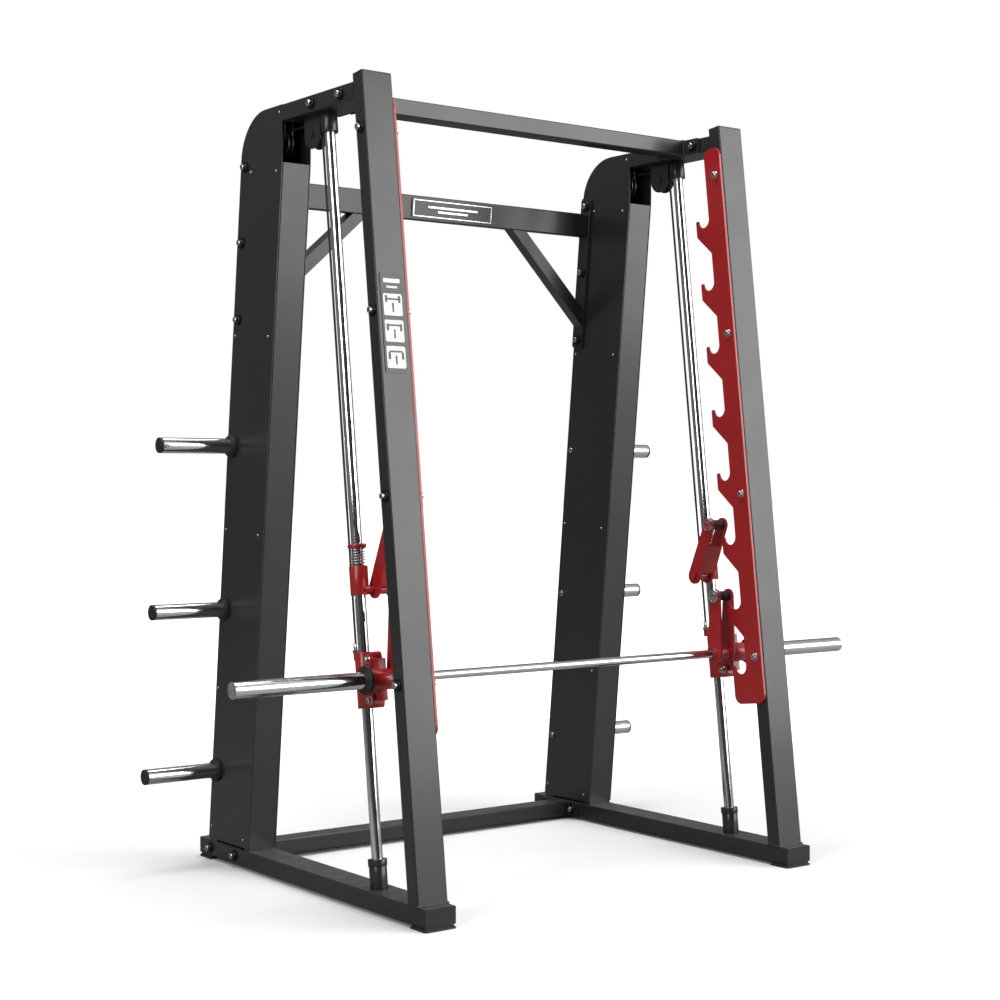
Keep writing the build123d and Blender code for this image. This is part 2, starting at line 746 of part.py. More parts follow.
def carriage_bearings():
    """Plain bushes on the rods and bearings round the bar, inside the carriages."""
    place = upright_frame * Pos(0, rod_offset, 0)
    low, high = bar_height - slider_length / 2, bar_height + slider_length / 2
    ring = Circle(slider_bore / 2 - 0.02) - Circle(rod_diameter / 2 + rod_bush_gap)
    bushes = []
    for w_from in (low, high - rod_bush_length):
        bushes.append(place * along_z(ring, w_from, w_from + rod_bush_length))
    y, z = bar_place()
    x_from = outboard_plate_x + hook_plate + 3
    for x in (x_from, x_from + housing_length - bar_bearing_length):
        x_to = x + bar_bearing_length
        bushes.append(ring_x(y, z, slider_bore / 2 - 0.02, bar_diameter / 2 + running_gap, x, x_to))
    return pair(Compound(children=[solid for bush in bushes for solid in bush.solids()]))


# ---------------------------------------------------------------- safety stops
def stop_tip():
    angle = math.radians(stop_arm_angle)
    return at_upright(stop_pivot_offset - stop_arm_length * math.cos(angle),
                      stop_pivot_height + stop_arm_length * math.sin(angle))


def stop_collar():
    """Collar that slides on the rod, with the pivot pin for the arm."""
    place = upright_frame * Pos(0, rod_offset, 0)
    ring = Circle(slider_diameter / 2) - Circle(rod_diameter / 2 + rod_slide_gap)
    collar = place * along_z(ring, stop_height, stop_height + stop_collar_length)
    y, z = at_upright(stop_pivot_offset, stop_pivot_height)
    x_inner = inboard_plate_x - hook_plate - 4
    pin = rod_x(y, z, pin_diameter / 2, x_inner, frame_half_spacing)
    pin += rod_x(y, z, pin_diameter / 2 + 4, x_inner - 3, x_inner)
    pin -= place * along_z(Circle(rod_diameter / 2 + rod_slide_gap), stop_height - 60, stop_height + 160)
    return collar + pin


def arm_web(root, tip):
    """Strip along the lower front edge that joins the two plates of a stop arm."""
    heading = math.degrees(math.atan2(tip[1] - root[1], tip[0] - root[0]))
    outer = tapered_bar(root, stop_root_radius, tip, hook_tip_radius)
    inner = tapered_bar(root, stop_root_radius - web_thickness, tip, hook_tip_radius - web_thickness)
    web_from, web_to = web_span
    reach = Rectangle(web_to - web_from, 2 * stop_root_radius)
    front_side = Pos(*root) * Rot(Z=heading) * Pos((web_from + web_to) / 2, stop_root_radius) * reach
    return slab((outer - inner) & front_side, inboard_plate_x, outboard_plate_x)


def stop_arm():
    """Two plates and a web on the collar's pivot pin, with a spacer tube and the locking pin at the tip."""
    y, z = at_upright(stop_pivot_offset, stop_pivot_height)
    ty, tz = stop_tip()
    shape = tapered_bar((y, z), stop_root_radius, (ty, tz), hook_tip_radius)
    inboard, outboard = plate_pair(shape)
    spacer = rod_x(y, z, 14, inboard_plate_x, outboard_plate_x)
    arm = inboard + outboard + spacer + arm_web((y, z), (ty, tz)) + hook_pin(ty, tz)
    arm += rod_x(ty, tz, bushing_diameter / 2, inboard_plate_x, outboard_plate_x)
    return arm - rod_x(y, z, pin_diameter / 2 + running_gap, 0, 1000)


def stop_spring():
    """Compression spring round the rod, between the collar and its ring."""
    start = stop_height + stop_collar_length + 0.1
    radius = rod_diameter / 2 + spring_wire / 2 + 1.2
    height = spring_length - spring_wire - 0.2
    coil = Helix(pitch=height / spring_turns, height=height, radius=radius)
    wire = sweep(Plane(coil @ 0, z_dir=coil % 0) * Circle(spring_wire / 2), path=coil)
    return upright_frame * Pos(frame_half_spacing, rod_offset, start + spring_wire / 2) * wire


def spring_ring():
    start = stop_height + stop_collar_length + spring_length
    ring = Circle(slider_diameter / 2) - Circle(rod_diameter / 2 + rod_slide_gap)
    shape = along_z(ring, start, start + spring_ring_height)
    return upright_frame * Pos(0, rod_offset, 0) * shape


# ---------------------------------------------------------------- counterweight drive
def pulley_place(front=True):
    if front:
        return at_upright(front_pulley_u, front_pulley_w)
    return at_column(rear_pulley_v, rear_pulley_s)


def pulley(front):
    """Grooved wheel on its axle."""
    y, z = pulley_place(front)
    half = pulley_width / 2
    groove = pulley_pitch_radius - cable_diameter / 2 - cable_gap
    rim = pulley_pitch_radius + pulley_rim
    profile = outline((axle_diameter / 2 + running_gap, -half), (rim, -half), (rim, -half + 2.5),
                      (groove, -cable_diameter / 2 - cable_gap), (groove, cable_diameter / 2 + cable_gap),
                      (rim, half - 2.5), (rim, half), (axle_diameter / 2 + running_gap, half))
    wheel = revolve(Plane.XZ * profile, Axis.Z)
    for i in range(5):
        wheel -= Rot(Z=72 * i) * Pos(19, 0, 0) * Cylinder(4.5, 60)
    return Pos(frame_half_spacing, y, z) * Rot(Y=90) * wheel


def hanger(y, z, half_width, z_top):
    """Plate that hangs from z_top and is round about its axle."""
    height = z_top - z
    plate = Pos(y, z + height / 2) * Rectangle(2 * half_width, height)
    return plate + Pos(y, z) * Circle(half_width)


def pulley_brackets():
    """Two hanging plates with an axle for each front pulley, and two standing plates for each rear one."""
    plate = 5.0
    gap = pulley_width / 2 + 1.5
    axle_radius = axle_diameter / 2
    solids = []
    y, z = pulley_place(True)
    hang = hanger(y, z, hanger_half_width, side_tube_top - tube_depth)
    ry, rz = pulley_place(False)
    stand = hanger(ry, rz, mount_half_width, side_tube_top - cover_sheet - 0.5)
    for (py, pz), shape in (((y, z), hang), ((ry, rz), stand)):
        bracket = Part()
        for side in (-1, 1):
            x_from = frame_half_spacing + side * gap
            bracket += slab(shape, min(x_from, x_from + side * plate), max(x_from, x_from + side * plate))
        end = gap + plate + 5
        bracket += rod_x(py, pz, axle_radius, frame_half_spacing - end, frame_half_spacing + end)
        for side in (-1, 1):
            x_from = frame_half_spacing + side * (gap + plate)
            bracket += rod_x(py, pz, 10, x_from, x_from + side * 6)
        solids += bracket.solids()
    return pair(Compound(children=solids))


def cable_path_top():
    """Cable over both pulleys: down the front one's front side and down the rear one's rear side."""
    (y1, z1), (y2, z2) = pulley_place(True), pulley_place(False)
    r = pulley_pitch_radius
    front_arc = CenterArc((y1, z1), r, 90, 90 - upright_lean)
    rear_arc = CenterArc((y2, z2), r, 90, -(90 - column_lean))
    run = Line((y2, z2 + r), (y1, z1 + r))
    return front_arc, run, rear_arc


def top_cable():
    front_arc, run, rear_arc = cable_path_top()
    cable = Part()
    for edge in (front_arc, run, rear_arc):
        path = Plane.YZ.offset(frame_half_spacing) * edge
        cable += sweep(Plane(path @ 0, z_dir=path % 0) * Circle(cable_diameter / 2), path=path)
    return cable


def front_cable():
    """Straight span from the carriage's lug up to the front pulley."""
    start = bar_height + slider_length / 2 + 0.2
    return upright_frame * Pos(0, rod_offset + cable_offset, 0) * along_z(
        Circle(cable_diameter / 2), start, front_pulley_w - 0.3)


def weight_cable():
    start = weight_s + weight_size[2] / 2 + 0.2
    return column_frame * Pos(0, weight_cable_depth, 0) * along_z(
        Circle(cable_diameter / 2), start, rear_pulley_s - 0.3)


def counterweight():
    """Steel block on its two guides."""
    body = fillet(Box(*weight_size).edges().filter_by(Axis.Z), 6)
    for x in (-guide_spread, guide_spread):
        body -= Pos(x, 0, 0) * Cylinder(guide_diameter / 2 + guide_gap, weight_size[2] + 10)
    return column_frame * Pos(frame_half_spacing, weight_cable_depth, weight_s) * body


# ---------------------------------------------------------------- pegs and signs
def plate_pegs():
    """Chrome storage tubes on the outer covers."""
    solids = []
    for y, z in peg_places():
        end, shoulder = outer_face + peg_length - 1, outer_face + peg_collar[1]
        bore, root = peg_diameter / 2 - peg_wall, peg_diameter / 2 - peg_root_step
        peg = ring_x(y, z, peg_diameter / 2, bore, shoulder, end)
        peg += ring_x(y, z, root, bore, outer_face, shoulder) + rod_x(y, z, root, outer_face, outer_face + 8)
        peg -= rod_x(y, z, bolt_shank / 2 + bolt_clearance, outer_face - 1, outer_face + 4)
        solids += peg.solids()
    return pair(Compound(children=solids))


def peg_rubbers():
    """Stepped rubber collars at the roots of the pegs and caps on their ends."""
    solids = []
    for y, z in peg_places():
        diameter, thickness = peg_collar
        bore = peg_diameter / 2 - peg_root_step + 0.05
        collar = ring_x(y, z, diameter / 2, bore, outer_face, outer_face + thickness * 0.6)
        collar += ring_x(y, z, diameter / 2 - 4, bore, outer_face, outer_face + thickness)
        end = outer_face + peg_length - 1
        cap = rod_x(y, z, peg_diameter / 2, end, end + peg_cap_height)
        cap += rod_x(y, z, peg_diameter / 2 - peg_wall - 0.1, end - 15, end + 1)
        solids += [*collar.solids(), *cap.solids()]
    return pair(Compound(children=solids))


def sign_plates():
    """Plain plates: one on the front face of the left upright, one on the upper rear crossbar."""
    width, height, thickness = upright_sign
    tall = panel(RectangleRounded(width, height, 6), -thickness, 0)
    tall = upright_frame * Pos(-frame_half_spacing, 0, upright_sign_w) * tall
    width, height, thickness = bar_sign
    wide = panel(RectangleRounded(width, height, 3), -thickness, 0)
    front_v = column_depth - cover_sheet - tube_depth
    wide = column_frame * Pos(bar_sign_x, front_v, rear_bar_s) * wide
    return Compound(children=[*tall.solids(), *wide.solids()])


# ---------------------------------------------------------------- assembly
def build():
    add_sides("foot_rail", foot_rail())
    add("foot_pads", pair(foot_pads()))
    add("tube_caps", pair(tube_caps()))
    add_sides("front_upright", front_upright())
    add_sides("top_side_tube", top_side_tube())
    add_sides("column_frame", column_frame_pieces())
    outer, inner = side_covers()
    add_sides("column_outer_cover", outer)
    add_sides("column_inner_cover", inner)
    add_sides("column_rear_cover", rear_cover())
    add("front_crossbar", front_crossbar())
    add("upper_rear_crossbar", upper_rear_crossbar())
    add("lower_rear_crossbar", lower_rear_crossbar())
    add("frame_bolts", frame_bolts())
    add("rack_bolts", rack_bolts())
    add("cover_screws", cover_screws())
    add_sides("guide_rod", guide_rod())
    add("rod_sockets", pair(rod_sockets()))
    add_sides("hook_rack", hook_rack())
    add("bar_shaft", bar_shaft())
    add_sides("sleeve", sleeve())
    add("bar_rubbers", bar_rubbers())
    add_sides("bar_hook", bar_hook())
    add("bar_hook_pins", bar_hook_pins())
    add_sides("carriage", carriage())
    add("carriage_bolts", carriage_bolts())
    add("carriage_bearings", carriage_bearings())
    add_sides("stop_collar", stop_collar())
    add_sides("stop_arm", stop_arm())
    add_sides("stop_spring", stop_spring())
    add_sides("spring_ring", spring_ring())
    add_sides("front_pulley", pulley(True))
    add_sides("rear_pulley", pulley(False))
    add("pulley_brackets", pulley_brackets())
    add("top_cables", pair(top_cable()))
    add("front_cables", pair(front_cable()))
    add_sides("weight_cable", weight_cable())
    add_sides("counterweight", counterweight())
    add("plate_pegs", plate_pegs())
    add("peg_rubbers", peg_rubbers())
    add("sign_plates", sign_plates())


build()
os.makedirs("parts", exist_ok=True)
for name, part in nodes.items():
    export_step(Pos(-centre) * part, f"parts/{name}.step")
print(len(nodes), "nodes")
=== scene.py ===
import json
import math

import bmesh
import bpy
from mathutils import Matrix, Vector


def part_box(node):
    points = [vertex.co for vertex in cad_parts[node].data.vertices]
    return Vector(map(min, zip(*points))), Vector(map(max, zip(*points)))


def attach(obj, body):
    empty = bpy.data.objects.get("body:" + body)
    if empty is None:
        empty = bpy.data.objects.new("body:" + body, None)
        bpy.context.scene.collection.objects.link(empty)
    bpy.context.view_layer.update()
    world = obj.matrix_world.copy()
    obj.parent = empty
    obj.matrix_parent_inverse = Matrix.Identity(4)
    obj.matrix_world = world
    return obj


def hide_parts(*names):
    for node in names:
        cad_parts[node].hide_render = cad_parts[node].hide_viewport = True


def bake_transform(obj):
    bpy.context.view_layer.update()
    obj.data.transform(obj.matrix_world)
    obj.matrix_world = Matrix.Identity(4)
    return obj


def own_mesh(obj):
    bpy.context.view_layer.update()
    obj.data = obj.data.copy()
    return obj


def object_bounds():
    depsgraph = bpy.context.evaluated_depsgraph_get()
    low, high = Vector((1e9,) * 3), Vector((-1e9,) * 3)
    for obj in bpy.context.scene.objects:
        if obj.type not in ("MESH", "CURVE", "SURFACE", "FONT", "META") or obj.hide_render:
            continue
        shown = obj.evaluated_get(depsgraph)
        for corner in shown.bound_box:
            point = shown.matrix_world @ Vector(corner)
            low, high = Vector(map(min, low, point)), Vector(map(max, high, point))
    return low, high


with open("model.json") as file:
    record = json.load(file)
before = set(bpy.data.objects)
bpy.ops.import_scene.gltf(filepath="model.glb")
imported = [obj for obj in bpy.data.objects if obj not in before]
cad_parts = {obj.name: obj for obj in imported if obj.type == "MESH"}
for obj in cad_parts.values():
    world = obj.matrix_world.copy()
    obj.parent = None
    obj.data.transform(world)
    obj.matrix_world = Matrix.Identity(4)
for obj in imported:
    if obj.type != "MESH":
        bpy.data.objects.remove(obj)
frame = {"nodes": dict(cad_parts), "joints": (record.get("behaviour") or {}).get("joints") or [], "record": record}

# Smith machine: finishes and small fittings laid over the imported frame.
# Metres, +Z up, -Y towards the lifter. Left is -X.

cad_low, cad_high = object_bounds()
nodes = frame["nodes"]
joints = {joint["name"]: joint for joint in frame["joints"]}
SIDES = (("left", -1), ("right", 1))
BODY = "frame"
frame_x = (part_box("front_upright_right")[0].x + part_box("front_upright_right")[1].x) / 2

rod_up = Vector(joints["bar_lift"]["axis"])
rod_back = Vector((0, rod_up.z, -rod_up.y))
column_up = Vector(joints["weight_slide_left"]["axis"])
column_back = Vector((0, column_up.z, -column_up.y))
ACROSS = Vector((1, 0, 0))


# ------------------------------------------------------------------ shader wiring
def put(tree, kind, inputs=None, **settings):
    """Adds a shader node. An input is a number, a colour or another node's output."""
    node = tree.nodes.new(kind)
    for name, value in settings.items():
        setattr(node, name, value)
    for name, value in (inputs or {}).items():
        if isinstance(value, bpy.types.NodeSocket):
            tree.links.new(value, node.inputs[name])
        else:
            node.inputs[name].default_value = value
    return node


def new_effect(name, inputs, outputs):
    """An empty node group with named inputs and outputs."""
    group = bpy.data.node_groups.new(name, "ShaderNodeTree")
    for label, start in inputs.items():
        kind = "NodeSocketVector" if isinstance(start, tuple) else "NodeSocketFloat"
        socket = group.interface.new_socket(label, in_out="INPUT", socket_type=kind)
        socket.default_value = start
    for label in outputs:
        group.interface.new_socket(label, in_out="OUTPUT", socket_type="NodeSocketFloat")
    return group, put(group, "NodeGroupInput").outputs, put(group, "NodeGroupOutput").inputs


def spot_scale(group, size):
    """Turns a size in metres into a texture scale."""
    return put(group, "ShaderNodeMath", {0: 1.0, 1: size}, operation="DIVIDE").outputs[0]


def place_on(group):
    return put(group, "ShaderNodeTexCoord").outputs["Object"]


def make_mottle():
    """Slow, cloudy change between two values."""
    group, given, result = new_effect("mottle", {"Size": 0.1, "Low": 0.0, "High": 1.0}, ["Value"])
    noise = put(group, "ShaderNodeTexNoise",
                {"Vector": place_on(group), "Scale": spot_scale(group, given["Size"]), "Detail": 4.0})
    span = put(group, "ShaderNodeMapRange",
               {"Value": noise.outputs["Fac"], "From Min": 0.3, "From Max": 0.7,
                "To Min": given["Low"], "To Max": given["High"]})
    group.links.new(span.outputs[0], result["Value"])
    return group


BROAD_DIMPLE = 14.0     # size of the slow waves of a coat, in fine dimples


def make_orange_peel():
    """Fine dimpled height of a baked powder coat or a moulding."""
    group, given, result = new_effect("orange_peel", {"Size": 0.002, "Depth": 1.0}, ["Height"])
    place = place_on(group)
    fine = put(group, "ShaderNodeTexNoise",
               {"Vector": place, "Scale": spot_scale(group, given["Size"]), "Detail": 2.0})
    waves = put(group, "ShaderNodeMath", {0: given["Size"], 1: BROAD_DIMPLE}, operation="MULTIPLY")
    broad = put(group, "ShaderNodeTexNoise",
                {"Vector": place, "Scale": spot_scale(group, waves.outputs[0]), "Detail": 1.0})
    both = put(group, "ShaderNodeMath", {0: broad.outputs["Fac"], 1: 2.0, 2: fine.outputs["Fac"]},
               operation="MULTIPLY_ADD")
    depth = put(group, "ShaderNodeMath", {0: both.outputs[0], 1: given["Depth"]}, operation="MULTIPLY")
    group.links.new(depth.outputs[0], result["Height"])
    return group


def make_edge_wear_and_highlight():
    """Mask of edges, made lighter for rubbed wear and as a painted edge highlight, broken up by noise."""
    group, given, result = new_effect("edge_wear_and_highlight", {"Width": 0.002, "Amount": 0.5, "Patch": 0.03}, ["Mask"])
    rounded = put(group, "ShaderNodeBevel", {"Radius": given["Width"]}, samples=4)
    flat = put(group, "ShaderNodeNewGeometry")
    facing = put(group, "ShaderNodeVectorMath", {0: rounded.outputs[0], 1: flat.outputs["Normal"]},
                 operation="DOT_PRODUCT")
    edge = put(group, "ShaderNodeMapRange",
               {"Value": facing.outputs["Value"], "From Min": 0.99, "From Max": 0.8})
    noise = put(group, "ShaderNodeTexNoise",
                {"Vector": place_on(group), "Detail": 6.0, "Scale": spot_scale(group, given["Patch"])})
    patch = put(group, "ShaderNodeMapRange",
                {"Value": noise.outputs["Fac"], "From Min": 0.45, "From Max": 0.65})
    # Edges to be coloured lighter: partly rubbed wear, partly a painted edge highlight.
    worn_and_lit_edge = put(group, "ShaderNodeMath", {0: edge.outputs[0], 1: patch.outputs[0]}, operation="MULTIPLY")
    mask = put(group, "ShaderNodeMath", {0: worn_and_lit_edge.outputs[0], 1: given["Amount"]},
               operation="MULTIPLY", use_clamp=True)
    group.links.new(mask.outputs[0], result["Mask"])
    return group


def make_dust():
    """Mask of the thin dust that lies on faces that look up."""
    group, given, result = new_effect("dust", {"Amount": 0.3}, ["Mask"])
    geometry = put(group, "ShaderNodeNewGeometry")
    normal = put(group, "ShaderNodeSeparateXYZ", {0: geometry.outputs["Normal"]})
    level = put(group, "ShaderNodeMapRange",
                {"Value": normal.outputs["Z"], "From Min": 0.75, "From Max": 1.0})
    noise = put(group, "ShaderNodeTexNoise", {"Vector": place_on(group), "Scale": 30.0, "Detail": 8.0})
    patch = put(group, "ShaderNodeMapRange",
                {"Value": noise.outputs["Fac"], "From Min": 0.3, "From Max": 0.75})
    lying = put(group, "ShaderNodeMath", {0: level.outputs[0], 1: patch.outputs[0]}, operation="MULTIPLY")
    mask = put(group, "ShaderNodeMath", {0: lying.outputs[0], 1: given["Amount"]}, operation="MULTIPLY")
    group.links.new(mask.outputs[0], result["Mask"])
    return group


def make_drawn_lines():
    """Long fine lines, squeezed by a different amount along each axis."""
    group, given, result = new_effect("drawn_lines", {"Squeeze": (1.0, 1.0, 1.0)}, ["Height"])
    squeezed = put(group, "ShaderNodeVectorMath", {0: place_on(group), 1: given["Squeeze"]},
                   operation="MULTIPLY")
    noise = put(group, "ShaderNodeTexNoise", {"Vector": squeezed.outputs[0], "Scale": 1.0, "Detail": 3.0})
    group.links.new(noise.outputs["Fac"], result["Height"])
    return group


effects = {"mottle": make_mottle(), "orange_peel": make_orange_peel(), "edge_wear_and_highlight": make_edge_wear_and_highlight(),
           "dust": make_dust(), "drawn_lines": make_drawn_lines()}


def use(tree, effect, **inputs):
    """Places a shared effect in a material and gives its output."""
    node = put(tree, "ShaderNodeGroup", node_tree=effects[effect])
    for name, value in inputs.items():
        node.inputs[name].default_value = value
    return node.outputs[0]


def colour_mix(tree, mask, under, over):
    mix = put(tree, "ShaderNodeMix", {"Factor": mask}, data_type="RGBA")
    for index, value in ((6, under), (7, over)):
        if isinstance(value, bpy.types.NodeSocket):
            tree.links.new(value, mix.inputs[index])
        else:
            mix.inputs[index].default_value = (*value, 1)
    return mix.outputs[2]


def new_material(name, **plain):
    """A material with its shader, whose even values are set on the shader itself."""
    material = bpy.data.materials.new(name)
    material.use_nodes = True
    tree = material.node_tree
    shader = tree.nodes["Principled BSDF"]
    for label, value in plain.items():
        shader.inputs[label.replace("_", " ")].default_value = value
    return material, tree, shader


BUMP_DEPTH = 0.0004     # height of the deepest surface texture, metres


def finish_with(tree, shader, colour=None, roughness=None, height=None, bump=0.1, metal=None):
    for socket, value in (("Base Color", colour), ("Roughness", roughness), ("Metallic", metal)):
        if value is not None:
            tree.links.new(value, shader.inputs[socket])
    if height is not None:
        relief = put(tree, "ShaderNodeBump", {"Height": height, "Strength": bump, "Distance": BUMP_DEPTH})
        tree.links.new(relief.outputs[0], shader.inputs["Normal"])


DUST_GREY = (0.25, 0.24, 0.23)


def painted(name, base, worn_and_lit_edge, low, high, wear_and_highlight, coat, dusty=0.25, peel=0.0022):
    """Baked powder coat with a little gloss change, edges made lighter for wear and as a painted edge highlight,
    and dust.
    """
    material, tree, shader = new_material(name, Coat_Weight=coat, Coat_Roughness=0.12)
    darker = tuple(0.90 * c for c in base)
    colour = colour_mix(tree, use(tree, "mottle", Size=0.35), darker, base)
    # Lighter colour along the edges: partly rubbed wear, partly a painted edge highlight.
    colour = colour_mix(tree, use(tree, "edge_wear_and_highlight", Width=0.0016, Amount=wear_and_highlight, Patch=0.02), colour, worn_and_lit_edge)
    colour = colour_mix(tree, use(tree, "dust", Amount=dusty), colour, DUST_GREY)
    gloss = use(tree, "mottle", Size=0.12, Low=low, High=high)
    finish_with(tree, shader, colour, gloss, use(tree, "orange_peel", Size=peel, Depth=1.0))
    return material


def metallic(name, base, low, high, squeeze, bump, smudge=0.06):
    """Bare or plated metal with drawing or polishing lines."""
    material, tree, shader = new_material(name)
    shader.inputs["Metallic"].default_value = 1.0
    darker = tuple(0.86 * c for c in base)
    colour = colour_mix(tree, use(tree, "mottle", Size=smudge), darker, base)
    lines = use(tree, "drawn_lines", Squeeze=squeeze)
    gloss = use(tree, "mottle", Size=smudge * 0.6, Low=low, High=high)
    finish_with(tree, shader, colour, gloss, lines, bump)
    return material


def moulded(name, base, pale, low, high, grain, bump):
    """Rubber or plastic with a fine grain and paler edges, partly wear and partly a painted edge highlight."""
    material, tree, shader = new_material(name)
    colour = colour_mix(tree, use(tree, "mottle", Size=0.04), base, tuple(1.35 * c for c in base))
    # Paler colour along the edges: partly wear, partly a painted edge highlight.
    colour = colour_mix(tree, use(tree, "edge_wear_and_highlight", Width=0.0012, Amount=0.5, Patch=0.01), colour, pale)
    finish_with(tree, shader, colour, use(tree, "mottle", Size=0.03, Low=low, High=high),
                use(tree, "orange_peel", Size=grain, Depth=1.0), bump)
    return material


CHROME_GREY = (0.80, 0.81, 0.82)
LINES_UP = (900.0, 900.0, 30.0)         # lines that run along Z
LINES_ACROSS = (30.0, 900.0, 900.0)     # lines that run along X
FINE_GRAIN = (700.0, 700.0, 700.0)
small_part = {"smudge": 0.01}

# The fourth colour of each coat is its edge colour, partly wear and partly a painted edge highlight. The bright
# red one is mostly painted highlight.
black_coat = painted("black_coat", (0.022, 0.022, 0.023), (0.14, 0.14, 0.145), 0.30, 0.35, 0.35, 0.15)
red_coat = painted("red_coat", (0.42, 0.014, 0.016), (0.75, 0.16, 0.15), 0.30, 0.36, 0.5, 0.2, dusty=0.1)
chrome = metallic("chrome_plate", CHROME_GREY, 0.05, 0.12, LINES_UP, 0.015)
bar_chrome = metallic("bar_chrome", CHROME_GREY, 0.06, 0.14, LINES_ACROSS, 0.02)
zinc = metallic("bright_zinc", (0.66, 0.66, 0.65), 0.18, 0.30, FINE_GRAIN, 0.08, **small_part)
black_oxide = metallic("black_oxide", (0.035, 0.035, 0.036), 0.3, 0.45, FINE_GRAIN, 0.08, **small_part)
spring_steel = metallic("spring_steel", (0.62, 0.62, 0.62), 0.15, 0.25, (800.0, 800.0, 800.0), 0.05,
                        **small_part)
# The second colour of each moulded finish is its paler edge colour, partly wear and partly a painted edge
# highlight.
rubber = moulded("black_rubber", (0.012, 0.012, 0.012), (0.05, 0.05, 0.05), 0.5, 0.68, 0.0012, 0.3)
plastic = moulded("black_plastic", (0.014, 0.014, 0.015), (0.06, 0.06, 0.062), 0.28, 0.42, 0.0009, 0.15)
nylon = moulded("pulley_nylon", (0.02, 0.02, 0.021), (0.07, 0.07, 0.07), 0.3, 0.4, 0.001, 0.12)
jacket = moulded("cable_jacket", (0.010, 0.010, 0.011), (0.03, 0.03, 0.03), 0.55, 0.7, 0.0006, 0.2)
casting = moulded("weight_casting", (0.05, 0.05, 0.052), (0.2, 0.19, 0.18), 0.5, 0.75, 0.003, 0.6)
bronze = metallic("bush_bronze", (0.52, 0.33, 0.14), 0.25, 0.4, (600.0, 600.0, 600.0), 0.06, **small_part)
sign_black = moulded("sign_black", (0.010, 0.010, 0.011), (0.04, 0.04, 0.04), 0.22, 0.3, 0.0008, 0.08)
sign_white = moulded("sign_white", (0.72, 0.72, 0.71), (0.8, 0.8, 0.8), 0.3, 0.42, 0.0008, 0.06)

finishes = {"black_frame": black_coat, "red_paint": red_coat, "chrome": chrome, "zinc": zinc,
            "rubber": rubber, "plastic": plastic, "bronze": bronze, "cable": jacket,
            "weight_steel": casting, "sign": sign_black, "pulley_nylon": nylon}
for part in frame["record"]["subparts"]:
    for material_slot in nodes[part["node"]].material_slots:
        material_slot.material = finishes[part["material_slot"]]
for name in ("bar_shaft", "sleeve_left", "sleeve_right", "plate_pegs"):
    nodes[name].material_slots[0].material = bar_chrome


# ------------------------------------------------------------------ mesh helpers
SAME_POINT = 0.00001
SHARP_EDGE = 38.0       # degrees: edges that turn by more than this are rounded
RING_POINTS = 48        # points of one ring of a turned shape


def soften_edges(name, width, segments=2):
    """Small rounded edges on a frame node, so that light catches them."""
    piece = nodes[name]
    weld = piece.modifiers.new("weld", "WELD")
    weld.merge_threshold = SAME_POINT
    flats = piece.modifiers.new("flats", "DECIMATE")
    flats.decimate_type = "DISSOLVE"
    flats.angle_limit = math.radians(0.5)
    bevel = piece.modifiers.new("edges", "BEVEL")
    bevel.width = width
    bevel.segments = segments
    bevel.limit_method = "ANGLE"
    bevel.angle_limit = math.radians(SHARP_EDGE)
    bevel.harden_normals = True
    bevel.use_clamp_overlap = True


def islands(name):
    """Corners (low, high) of each separate solid of a node."""
    mesh = bmesh.new()
    mesh.from_mesh(nodes[name].data)
    bmesh.ops.remove_doubles(mesh, verts=mesh.verts, dist=1e-6)
    left, found = set(mesh.verts), []
    while left:
        group, edge = set(), [left.pop()]
        while edge:
            vertex = edge.pop()
            group.add(vertex)
            for link in vertex.link_edges:
                other = link.other_vert(vertex)
                if other in left:
                    left.remove(other)
                    edge.append(other)
        points = [vertex.co for vertex in group]
        found.append((Vector(map(min, *points)), Vector(map(max, *points))))
    mesh.free()
    return sorted(found, key=lambda box: tuple(round(c, 4) for c in box[0]))


def middle(box):
    return (box[0] + box[1]) / 2


def circle(radius, height):
    """One ring of a turned shape."""
    angles = [2 * math.pi * i / RING_POINTS for i in range(RING_POINTS)]
    return [(radius * math.cos(angle), radius * math.sin(angle), height) for angle in angles]


def hexagon(across, height):
    """A ring that follows a hexagon, in as many points as the circles have."""
    ring = []
    for i in range(RING_POINTS):
        angle = 2 * math.pi * i / RING_POINTS
        from_corner = (angle + math.pi / 6) % (math.pi / 3) - math.pi / 6
        radius = across / 2 / math.cos(from_corner)
        ring.append((radius * math.cos(angle), radius * math.sin(angle), height))
    return ring


def skin(mesh, rings, closed=True, caps=True):
    """Joins rings of points with faces, and closes the two ends."""
    rows = [[mesh.verts.new(point) for point in ring] for ring in rings]
    count = len(rows[0])
    for low, high in zip(rows, rows[1:]):
        for i in range(count if closed else count - 1):
            j = (i + 1) % count
            mesh.faces.new((low[i], low[j], high[j], high[i]))
    if caps:
        mesh.faces.new(list(reversed(rows[0])))
        mesh.faces.new(rows[-1])
    return rows


def turned_to(axis, place):
    """Matrix that takes local +Z to an axis and the local origin to a place."""
    return Matrix.Translation(place) @ axis.to_track_quat("Z", "Y").to_matrix().to_4x4()


def finish_piece(mesh, name, material, body, smooth=35):
    """Makes an object of a mesh, shades it, and fixes it to a body if it is given one."""
    bmesh.ops.recalc_face_normals(mesh, faces=mesh.faces)
    data = bpy.data.meshes.new(name)
    mesh.to_mesh(data)
    mesh.free()
    data.materials.append(material)
    data.shade_smooth()
    data.set_sharp_from_angle(angle=math.radians(smooth))
    piece = bpy.data.objects.new(name, data)
    bpy.context.scene.collection.objects.link(piece)
    if body:
        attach(piece, body)
    return piece


